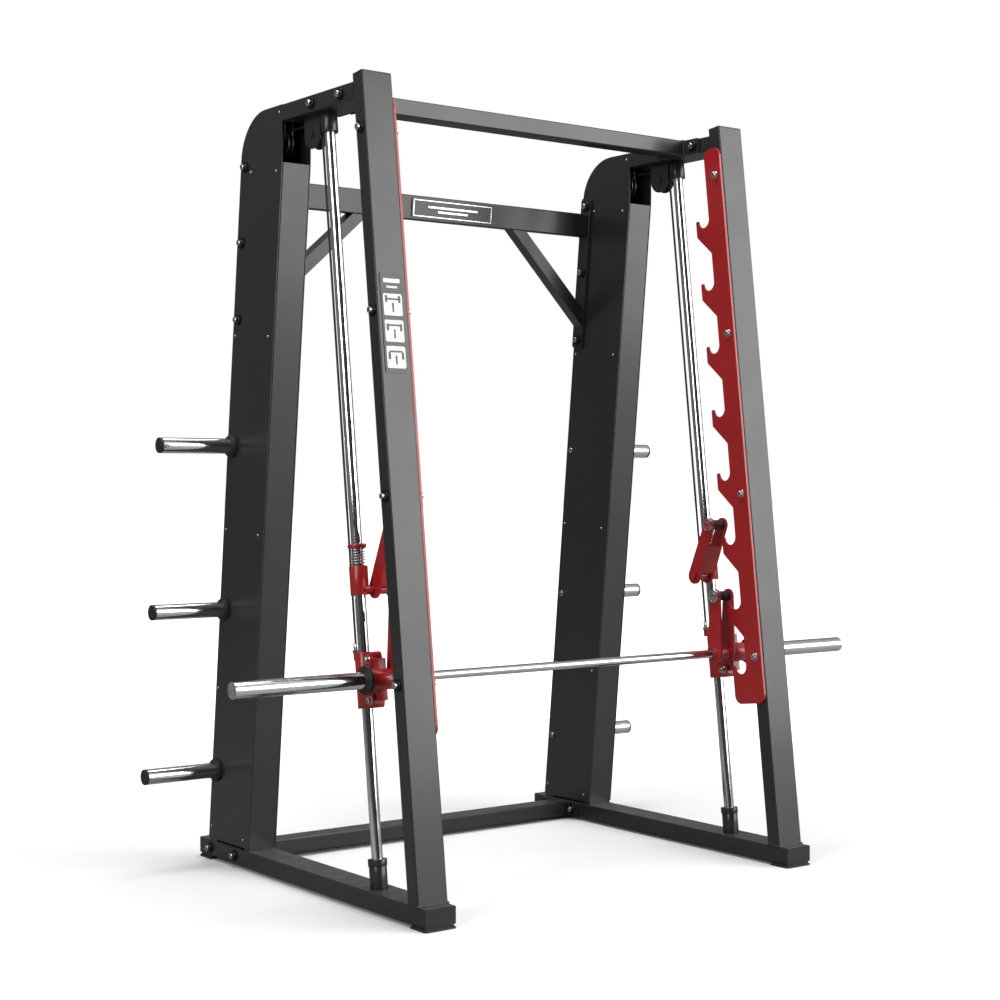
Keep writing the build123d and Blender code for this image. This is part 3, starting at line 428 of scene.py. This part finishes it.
def add_placed(mesh, rings, matrix):
    """Skins rings of local points, places the result and adds it to a mesh."""
    part = bmesh.new()
    skin(part, rings)
    part.transform(matrix)
    data = bpy.data.meshes.new("part")
    part.to_mesh(data)
    part.free()
    mesh.from_mesh(data)
    bpy.data.meshes.remove(data)


def add_turned(mesh, profile, axis, place):
    """A turned solid. A step is (radius, height), or (hexagon, across, height) for a six-sided one."""
    rings = [step[0](step[1], step[2]) if callable(step[0]) else circle(*step) for step in profile]
    add_placed(mesh, rings, turned_to(axis, place))


def sweep_round(mesh, points, radii, sides=8, closed=False):
    """A round bead, wire or cable along points, with a radius for each point."""
    rings, count = [], len(points)
    side = None
    for i, point in enumerate(points):
        before = points[(i - 1) % count] if closed or i else point
        after = points[(i + 1) % count] if closed or i < count - 1 else point
        along = (after - before).normalized()
        if side is None:
            side = along.orthogonal().normalized()
        side = (side - along * side.dot(along)).normalized()
        other = along.cross(side)
        angles = [2 * math.pi * k / sides for k in range(sides)]
        rings.append([tuple(point + radii[i] * (side * math.cos(angle) + other * math.sin(angle)))
                      for angle in angles])
    rows = skin(mesh, rings, caps=not closed)
    if closed:
        for k in range(sides):
            n = (k + 1) % sides
            mesh.faces.new((rows[-1][k], rows[-1][n], rows[0][n], rows[0][k]))


POINTS_A_RIPPLE = 4
RIPPLE_SHARE = 0.16     # how much a ripple swells the bead's radius


def weld_bead(mesh, corners, radius=0.003, ripple=0.006):
    """A closed fillet weld through corner points, rippled as a hand weld is."""
    points = []
    for start, end in zip(corners, corners[1:] + corners[:1]):
        steps = max(2, round((end - start).length / (ripple / POINTS_A_RIPPLE)))
        points += [start.lerp(end, i / steps) for i in range(steps)]
    turn = 2 * math.pi / POINTS_A_RIPPLE
    radii = [radius * (1 + RIPPLE_SHARE * math.sin(i * turn)) for i in range(len(points))]
    sweep_round(mesh, points, radii, closed=True)


HEAD_R, HEAD_H = 0.0095, 0.009
WASHER_R, WASHER_H, SMALL_WASHER_R, THIN_WASHER_H = 0.017, 0.006, 0.0125, 0.002
WASHER_BORE = 0.006
WASHER_EDGE = 0.0012
POINT_R = 0.0001        # closes a turned shape on its axis
WITH_WASHER = 0.03      # a bolt's box is wider than this where it has large washers


def socket_head(radius=HEAD_R, height=HEAD_H, across=0.0085, depth=0.0045):
    """Profile of a hex socket cap head, from its seat outwards and down into the socket."""
    edge = radius * 0.14
    floor = height - depth
    return [(radius, 0), (radius, height - edge), (radius - edge, height), (across * 0.62, height),
            (hexagon, across, height - 0.0003), (hexagon, across, floor), (POINT_R, floor)]


def washer_profile(radius=WASHER_R, height=WASHER_H):
    edge = WASHER_EDGE
    return [(radius - edge * 0.4, 0), (radius, edge * 0.5), (radius, height - edge),
            (radius - edge, height), (WASHER_BORE, height)]


# ------------------------------------------------------------------ frame edges
sided_edges = {"front_upright": 0.0012, "top_side_tube": 0.0010, "column_outer_cover": 0.0005,
               "column_inner_cover": 0.0005, "hook_rack": 0.0016, "bar_hook": 0.0014, "stop_arm": 0.0014,
               "carriage": 0.0012, "stop_collar": 0.0012, "spring_ring": 0.0010}
shared_edges = {"front_crossbar": 0.0010, "upper_rear_crossbar": 0.0010, "lower_rear_crossbar": 0.0010,
                "tube_caps": 0.0012, "foot_pads": 0.0015, "rod_sockets": 0.0010,
                "pulley_brackets": 0.0008, "peg_rubbers": 0.0012}
for name, width in sided_edges.items():
    for side, _ in SIDES:
        soften_edges(f"{name}_{side}", width)
for name, width in shared_edges.items():
    soften_edges(name, width)


# ------------------------------------------------------------------ bolts
def through_bolts(node, title, body, small_inside=False, thin_washers=False):
    """Socket heads and washers on the bolts of a node. A bolt with no washer at all has one head,
    on the side of the machine's middle, unless it gets thin washers."""
    heads, rings, small_rings = bmesh.new(), bmesh.new(), bmesh.new()
    for box in islands(node):
        centre = middle(box)
        is_large = box[1].y - box[0].y > WITH_WASHER
        for end, outwards in ((box[0].x, -1), (box[1].x, 1)):
            is_outer = end * outwards > 0
            if is_outer and not is_large and not thin_washers:
                continue
            axis = ACROSS * outwards
            seat = Vector((end - outwards * HEAD_H, centre.y, centre.z))
            add_turned(heads, socket_head(), axis, seat)
            if thin_washers:
                washer, height, mesh = SMALL_WASHER_R, THIN_WASHER_H, small_rings
            elif not is_large:
                continue
            elif small_inside and not is_outer:
                washer, height, mesh = SMALL_WASHER_R, WASHER_H, small_rings
            else:
                washer, height, mesh = WASHER_R, WASHER_H, rings
            add_turned(mesh, washer_profile(washer, height), axis, seat - axis * height)
    made = finish_piece(heads, f"{title}_heads", zinc, body)
    for mesh, kind, material in ((rings, "washers", black_oxide), (small_rings, "plain_washers", zinc)):
        if mesh.faces:
            finish_piece(mesh, f"{title}_{kind}", material, body)
        else:
            mesh.free()
    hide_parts(node)


through_bolts("frame_bolts", "frame_bolt", BODY)
through_bolts("rack_bolts", "rack_bolt", BODY, small_inside=True)


def cover_screw_heads():
    """Small domed screws with a recess in the middle."""
    mesh = bmesh.new()
    for box in islands("cover_screws"):
        centre = middle(box)
        outwards = 1 if abs(centre.x) > frame_x else -1
        outwards *= 1 if centre.x > 0 else -1
        face = box[0].x if outwards > 0 else box[1].x
        profile = [(0.004, 0), (0.0039, 0.0008), (0.003, 0.0019), (0.0016, 0.0024), (0.0009, 0.0024),
                   (0.0006, 0.0012)]
        add_turned(mesh, profile, ACROSS * outwards, Vector((face, centre.y, centre.z)))
    screws = finish_piece(mesh, "cover_screw_heads", zinc, BODY)
    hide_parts("cover_screws")


cover_screw_heads()


# ------------------------------------------------------------------ arm pins, rollers and carriage bolts
def near_middle(node, reach):
    """Box of the part of a node that is closest to the middle of the machine."""
    inner = min(abs(vertex.co.x) for vertex in nodes[node].data.vertices)
    points = [vertex.co for vertex in nodes[node].data.vertices if abs(vertex.co.x) < inner + reach]
    return Vector(map(min, *points)), Vector(map(max, *points))


def disc_head(radius, thickness):
    """Profile of a big pin head: chamfered rim, one turned ring and a hex socket."""
    groove, floor = thickness - 0.0008, thickness - 0.006
    return [(radius - 0.0004, 0), (radius, 0.0004), (radius, thickness - 0.0015),
            (radius - 0.0015, thickness), (radius * 0.74, thickness), (radius * 0.70, groove),
            (radius * 0.56, groove), (radius * 0.52, thickness), (0.0085, thickness),
            (hexagon, 0.0125, thickness - 0.0004), (hexagon, 0.0125, floor), (POINT_R, floor)]


def roller_profile(radius, length):
    """Rubber roller with shallow turned grooves."""
    rings = [(radius - 0.001, 0), (radius, 0.001)]
    groove_r = radius - 0.0008
    for share in (0.25, 0.5, 0.75):
        groove = length * share
        rings += [(radius, groove - 0.0012), (groove_r, groove - 0.0006),
                  (groove_r, groove + 0.0006), (radius, groove + 0.0012)]
    return rings + [(radius, length - 0.001), (radius - 0.001, length)]


DISC_R, DISC_T, PIN_DISC_T, PIN_R = 0.0218, 0.0095, 0.009, 0.008
PLATE_T, PLATE_GAP, ROLLER_R = 0.008, 0.049, 0.0154
CLEAR = 0.0003          # gap between a turned piece and what it stands beside


def bar_hook_pins():
    """Disc-headed pins through the tips of the bar hooks."""
    mesh = bmesh.new()
    for box in islands("bar_hook_pins"):
        centre = middle(box)
        outwards = 1 if centre.x > 0 else -1
        inner = box[0].x if outwards > 0 else box[1].x
        axis = ACROSS * outwards
        seat = Vector((inner + outwards * PIN_DISC_T, centre.y, centre.z))
        add_turned(mesh, disc_head(DISC_R - CLEAR, PIN_DISC_T), -axis, seat)
        length = box[1].x - box[0].x - PIN_DISC_T
        add_turned(mesh, [(PIN_R, 0), (PIN_R, length - 0.0012), (PIN_R - 0.0012, length)], axis, seat)
    pins = finish_piece(mesh, "bar_hook_pin_set", zinc, "bar")
    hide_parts("bar_hook_pins")


HEAD_REACH = 0.006      # depth, from an arm's inner end, that holds only its pin's head


def stop_arm_pins(side, sign):
    """Disc head and roller at the tip of a safety stop's arm."""
    box = near_middle(f"stop_arm_{side}", HEAD_REACH)
    centre, axis = middle(box), ACROSS * sign
    inner = box[0].x if sign > 0 else box[1].x
    face = Vector((inner - sign * CLEAR, centre.y, centre.z))
    disc = bmesh.new()
    add_turned(disc, disc_head(DISC_R, DISC_T), -axis, face + axis * DISC_T)
    finish_piece(disc, f"stop_pin_head_{side}", zinc, f"stop_arm_{side}")
    roller = bmesh.new()
    start = face + axis * (PIN_DISC_T + PLATE_T + CLEAR)
    add_turned(roller, roller_profile(ROLLER_R, PLATE_GAP), axis, start)
    finish_piece(roller, f"stop_roller_{side}", rubber, f"stop_arm_{side}")


bar_hook_pins()
for side, sign in SIDES:
    stop_arm_pins(side, sign)
through_bolts("carriage_bolts", "carriage_bolt", "bar_carriage", thin_washers=True)


# ------------------------------------------------------------------ springs and cables
RING_HALF = 0.0055      # half of the spring ring's height along the rod
SPRING_LENGTH, SPRING_TRAVEL = 0.052, 0.02
WIRE_R, COIL_R, COIL_TURNS, STEPS_A_TURN = 0.0018, 0.0198, 6, 24


def stop_spring(side):
    """Round-wire coil between the collar and its ring."""
    ring_low, ring_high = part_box(f"spring_ring_{side}")
    base = (ring_low + ring_high) / 2 - rod_up * (RING_HALF + SPRING_LENGTH)
    points = []
    for i in range(COIL_TURNS * STEPS_A_TURN + 1):
        turn = i / STEPS_A_TURN
        height = WIRE_R + (SPRING_LENGTH - 2 * WIRE_R) * (turn / COIL_TURNS)
        angle = 2 * math.pi * turn
        outwards = ACROSS * math.cos(angle) + rod_back * math.sin(angle)
        points.append(base + rod_up * height + outwards * COIL_R)
    mesh = bmesh.new()
    sweep_round(mesh, points, [WIRE_R] * len(points), sides=12)
    spring = finish_piece(mesh, f"stop_coil_{side}", spring_steel, f"stop_{side}", smooth=80)
    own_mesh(spring)
    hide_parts(f"stop_spring_{side}")


CABLE_R, CABLE_SIDES = 0.0035, 16


def cable_end(mesh, foot, up):
    """Swaged ferrule and stop nut that hold a cable end."""
    ferrule = [(0.0068, 0), (0.0072, 0.001), (0.0072, 0.024), (0.0058, 0.027), (0.0037, 0.028)]
    add_turned(mesh, ferrule, up, foot)
    nut = [(hexagon, 0.019, 0.0), (hexagon, 0.019, 0.008), (0.0085, 0.0085), (0.004, 0.0085)]
    add_turned(mesh, nut, up, foot - up * 0.0005)


def front_cables():
    """Both front spans, and the ends that hold them at the carriages."""
    span, ends = bmesh.new(), bmesh.new()
    tops, bottoms = [], []
    for low, high in islands("front_cables"):
        middle_x = (low.x + high.x) / 2
        bottoms.append(Vector((middle_x, low.y + CABLE_R, low.z + CABLE_R * rod_up.y)))
        tops.append(Vector((middle_x, high.y - CABLE_R, high.z - CABLE_R * rod_up.y)))
        sweep_round(span, [bottoms[-1], tops[-1]], [CABLE_R, CABLE_R], sides=CABLE_SIDES)
        cable_end(ends, bottoms[-1], rod_up)
    cable = finish_piece(span, "front_cable_spans", jacket, None)
    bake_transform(cable)
    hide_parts("front_cables")
    finish_piece(ends, "front_cable_ends", zinc, "bar_carriage")


def weight_cable(side):
    """Span inside the column, from the rear pulley to the counterweight."""
    low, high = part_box(f"weight_cable_{side}")
    middle_x = (low.x + high.x) / 2
    top = Vector((middle_x, low.y + CABLE_R, high.z - CABLE_R * abs(column_up.y)))
    bottom = Vector((middle_x, high.y - CABLE_R, low.z + CABLE_R * abs(column_up.y)))
    span, end = bmesh.new(), bmesh.new()
    sweep_round(span, [bottom, top], [CABLE_R, CABLE_R], sides=CABLE_SIDES)
    cable_end(end, bottom, column_up)
    cable = finish_piece(span, f"weight_cable_span_{side}", jacket, None)
    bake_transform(cable)
    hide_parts(f"weight_cable_{side}")
    finish_piece(end, f"weight_cable_end_{side}", zinc, f"counterweight_{side}")


for side, _ in SIDES:
    stop_spring(side)
    weight_cable(side)
front_cables()


# ------------------------------------------------------------------ welds
INTO_JOINT = 0.001      # how far a bead's middle line stands from the joint, along the tube
REAR_BAR_HALF = (0.025, 0.040)      # half of the upper rear bar's section


def square_corners(centre, half_a, half_b):
    return [centre + half_a + half_b, centre - half_a + half_b,
            centre - half_a - half_b, centre + half_a - half_b]


def bar_ends(node):
    """Middle of each end of a crossbar's tube, and half of the tube's box."""
    tube = max(islands(node), key=lambda box: box[1].x - box[0].x)
    centre, half = middle(tube), (tube[1] - tube[0]) / 2
    spots = [Vector((end, centre.y, centre.z)) for end in (tube[0].x + INTO_JOINT, tube[1].x - INTO_JOINT)]
    return spots, half


def frame_welds():
    """Beads where uprights meet rails, and where crossbars meet their flanges."""
    mesh = bmesh.new()
    for side, _ in SIDES:
        foot_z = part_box(f"front_upright_{side}")[0].z
        upright = nodes[f"front_upright_{side}"].data
        foot = [vertex.co for vertex in upright.vertices if vertex.co.z < foot_z + 0.0005]
        foot_low, foot_high = Vector(map(min, *foot)), Vector(map(max, *foot))
        centre = (foot_low + foot_high) / 2
        centre.z = foot_z + INTO_JOINT
        half = (foot_high - foot_low) / 2
        weld_bead(mesh, square_corners(centre, Vector((half.x, 0, 0)), Vector((0, half.y, 0))), 0.0035)
    for node in ("front_crossbar", "lower_rear_crossbar"):
        spots, half = bar_ends(node)
        for spot in spots:
            weld_bead(mesh, square_corners(spot, Vector((0, half.y, 0)), Vector((0, 0, half.z))))
    for spot in bar_ends("upper_rear_crossbar")[0]:
        depth, height = REAR_BAR_HALF
        weld_bead(mesh, square_corners(spot, column_back * depth, column_up * height))
    finish_piece(mesh, "frame_weld_beads", black_coat, BODY, smooth=80)


HOOK_BEAD_R, HOOK_BEAD_CORNERS = 0.0148, 16


def bar_hook_welds():
    """Beads that join the hook plates to the bar."""
    mesh = bmesh.new()
    axle = Vector(joints["bar_turn"]["pos_m"])
    for side, _ in SIDES:
        low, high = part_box(f"bar_hook_{side}")
        for face, outwards in ((low.x, -1), (high.x, 1)):
            spot = Vector((face + outwards * 0.0006, axle.y, axle.z))
            angles = [2 * math.pi * i / HOOK_BEAD_CORNERS for i in range(HOOK_BEAD_CORNERS)]
            corners = [spot + HOOK_BEAD_R * Vector((0, math.cos(angle), math.sin(angle))) for angle in angles]
            weld_bead(mesh, corners, 0.0024, 0.005)
    finish_piece(mesh, "bar_hook_weld_beads", red_coat, "bar", smooth=80)


frame_welds()
bar_hook_welds()


# ------------------------------------------------------------------ sign plates
CORNER_STEPS = 6        # straight steps in a plate's quarter-round corner


def rounded_plate(mesh, face, width, height, thickness, corner, centre=(0, 0)):
    """A thin plate with round corners, lying in a face's local x-y plane."""
    ring = []
    for quarter, (cx, cy) in enumerate(((1, 1), (-1, 1), (-1, -1), (1, -1))):
        for i in range(CORNER_STEPS + 1):
            angle = math.radians(90 * (quarter + i / CORNER_STEPS))
            ring.append((cx * (width / 2 - corner) + corner * math.cos(angle),
                         cy * (height / 2 - corner) + corner * math.sin(angle)))
    edge = thickness * 0.3
    narrower, lower = 1 - 2 * edge / width, 1 - 2 * edge / height
    rings = [[(x, y, 0) for x, y in ring], [(x, y, thickness - edge) for x, y in ring],
             [(x * narrower, y * lower, thickness) for x, y in ring]]
    add_placed(mesh, rings, face @ Matrix.Translation((*centre, 0)))


def on_face(centre, across, up, outwards):
    """Matrix with local x across, y up and z out of a face."""
    matrix = Matrix((across, up, outwards)).transposed().to_4x4()
    matrix.translation = centre
    return matrix


SIGN_FIELD_T, SIGN_MARK_T = 0.0006, 0.0009


def sign_details():
    """Border and plain white fields on the signs: no words, only plain bars."""
    boxes = sorted(islands("sign_plates"), key=lambda box: box[1].x - box[0].x)
    tall, wide = boxes[0], boxes[-1]
    white, silver, ink = bmesh.new(), bmesh.new(), bmesh.new()
    face = on_face(middle(tall) - rod_back * 0.001, ACROSS, rod_up, -rod_back)
    for width, height, up in ((0.055, 0.012, 0.118), (0.036, 0.006, 0.100)):
        rounded_plate(white, face, width, height, SIGN_FIELD_T, 0.002, (0, up))
    for i, up in enumerate((0.050, -0.024, -0.098)):
        rounded_plate(white, face, 0.062, 0.062, SIGN_FIELD_T, 0.005, (0, up))
        marks = [(0.044, 0.005, 0, 0.016), (0.006, 0.026, 0, -0.008)]
        marks += [(0.008, 0.020, sign * 0.022, 0.016 - 0.006 * i) for sign in (-1, 1)]
        for width, height, x, y in marks:
            rounded_plate(ink, face, width, height, SIGN_MARK_T, 0.002, (x, up + y))
    face = on_face(middle(wide) - column_back * 0.0015, ACROSS, column_up, -column_back)
    for width, height, centre in ((0.318, 0.003, (0, 0.026)), (0.318, 0.003, (0, -0.026)),
                                  (0.003, 0.052, (0.1575, 0)), (0.003, 0.052, (-0.1575, 0)),
                                  (0.200, 0.006, (0, 0.006)), (0.120, 0.006, (0, -0.008))):
        rounded_plate(silver, face, width, height, SIGN_FIELD_T, 0.001, centre)
    finish_piece(white, "sign_fields", sign_white, BODY)
    finish_piece(ink, "sign_marks", sign_black, BODY)
    finish_piece(silver, "sign_border", zinc, BODY)


sign_details()


# ------------------------------------------------------------------ floor, light and camera
FLOOR_SIZE = 60.0
FADE_FROM, FADE_TO = 1.6, 5.0       # metres from the middle, over which the floor turns plain white


def studio_floor():
    """Pale floor to the eye, but dark in what it throws back on the machine."""
    material, tree, shader = new_material("studio_floor")
    seen = put(tree, "ShaderNodeLightPath").outputs["Is Camera Ray"]
    pale = colour_mix(tree, use(tree, "mottle", Size=1.5), (0.88, 0.88, 0.88), (0.90, 0.90, 0.90))
    colour = colour_mix(tree, seen, (0.22, 0.22, 0.22), pale)
    finish_with(tree, shader, colour, use(tree, "mottle", Size=0.6, Low=0.6, High=0.7))
    away = put(tree, "ShaderNodeVectorMath", {0: place_on(tree)}, operation="LENGTH")
    far = put(tree, "ShaderNodeMapRange",
              {"Value": away.outputs["Value"], "From Min": FADE_FROM, "From Max": FADE_TO})
    fade = put(tree, "ShaderNodeMath", {0: far.outputs[0], 1: seen}, operation="MULTIPLY")
    tree.links.new(colour_mix(tree, fade.outputs[0], (0, 0, 0), (1, 1, 1)), shader.inputs["Emission Color"])
    shader.inputs["Emission Strength"].default_value = 1.0
    mesh = bmesh.new()
    bmesh.ops.create_grid(mesh, x_segments=1, y_segments=1, size=FLOOR_SIZE)
    data = bpy.data.meshes.new("floor")
    mesh.to_mesh(data)
    mesh.free()
    data.materials.append(material)
    floor = bpy.data.objects.new("floor", data)
    floor.location.z = cad_low.z
    bpy.context.scene.collection.objects.link(floor)


DARK_SIDE = (-0.6, -0.8, 0.0)


def studio_world():
    """Soft grey room, brighter above and in front, with a dark patch for bright metal to mirror."""
    world = bpy.data.worlds.new("studio")
    bpy.context.scene.world = world
    world.use_nodes = True
    tree = world.node_tree
    tree.nodes.clear()
    around = put(tree, "ShaderNodeTexCoord").outputs["Generated"]
    direction = put(tree, "ShaderNodeSeparateXYZ", {0: around})
    height = put(tree, "ShaderNodeMapRange",
                 {"Value": direction.outputs["Z"], "From Min": -0.2, "From Max": 0.9,
                  "To Min": 0.22, "To Max": 0.7})
    front = put(tree, "ShaderNodeMapRange",
                {"Value": direction.outputs["Y"], "From Min": 0.4, "From Max": -0.8,
                 "To Min": 0.45, "To Max": 1.3})
    sky = put(tree, "ShaderNodeMath", {0: height.outputs[0], 1: front.outputs[0]}, operation="MULTIPLY")
    towards = put(tree, "ShaderNodeVectorMath", {0: around, 1: DARK_SIDE}, operation="DOT_PRODUCT")
    shade = put(tree, "ShaderNodeMapRange",
                {"Value": towards.outputs["Value"], "From Min": 0.35, "From Max": 0.85,
                 "To Min": 1.0, "To Max": 0.12})
    glow = put(tree, "ShaderNodeMath", {0: sky.outputs[0], 1: shade.outputs[0]}, operation="MULTIPLY")
    room = put(tree, "ShaderNodeBackground", {"Color": (1, 1, 1, 1), "Strength": glow.outputs[0]})
    white = put(tree, "ShaderNodeBackground", {"Color": (1, 1, 1, 1), "Strength": 1.0})
    seen = put(tree, "ShaderNodeLightPath").outputs["Is Camera Ray"]
    mix = put(tree, "ShaderNodeMixShader", {0: seen, 1: room.outputs[0], 2: white.outputs[0]})
    put(tree, "ShaderNodeOutputWorld", {0: mix.outputs[0]})


def softbox(name, place, target, width, height, power):
    light = bpy.data.lights.new(name, "AREA")
    light.shape = "RECTANGLE"
    light.size, light.size_y = width, height
    light.energy = power
    lamp = bpy.data.objects.new(name, light)
    lamp.location = place
    aim = Vector(target) - Vector(place)
    lamp.rotation_euler = aim.to_track_quat("-Z", "Y").to_euler()
    lamp.visible_camera = False
    bpy.context.scene.collection.objects.link(lamp)


def studio():
    studio_floor()
    studio_world()
    softbox("key_box", (6.5, -9.0, 3.9), (0, 0, 1.2), 9.0, 6.4, 900)
    softbox("fill_box", (-6.0, -2.0, 3.5), (0, 0, 1.2), 2.5, 3.0, 150)
    softbox("top_box", (0.0, 0.0, 7.0), (0, 0, 1.0), 5.0, 5.0, 420)
    camera_data = bpy.data.cameras.new("camera")
    camera_data.sensor_width = 36.0
    camera_data.lens = 66.20
    camera = bpy.data.objects.new("camera", camera_data)
    camera.location = (-3.5173, -4.6848, 1.2118)
    camera.rotation_euler = (math.radians(90 - 0.61), 0, math.radians(-36.86))
    bpy.context.scene.collection.objects.link(camera)
    bpy.context.scene.camera = camera
    bpy.context.scene.view_settings.view_transform = "Standard"


studio()
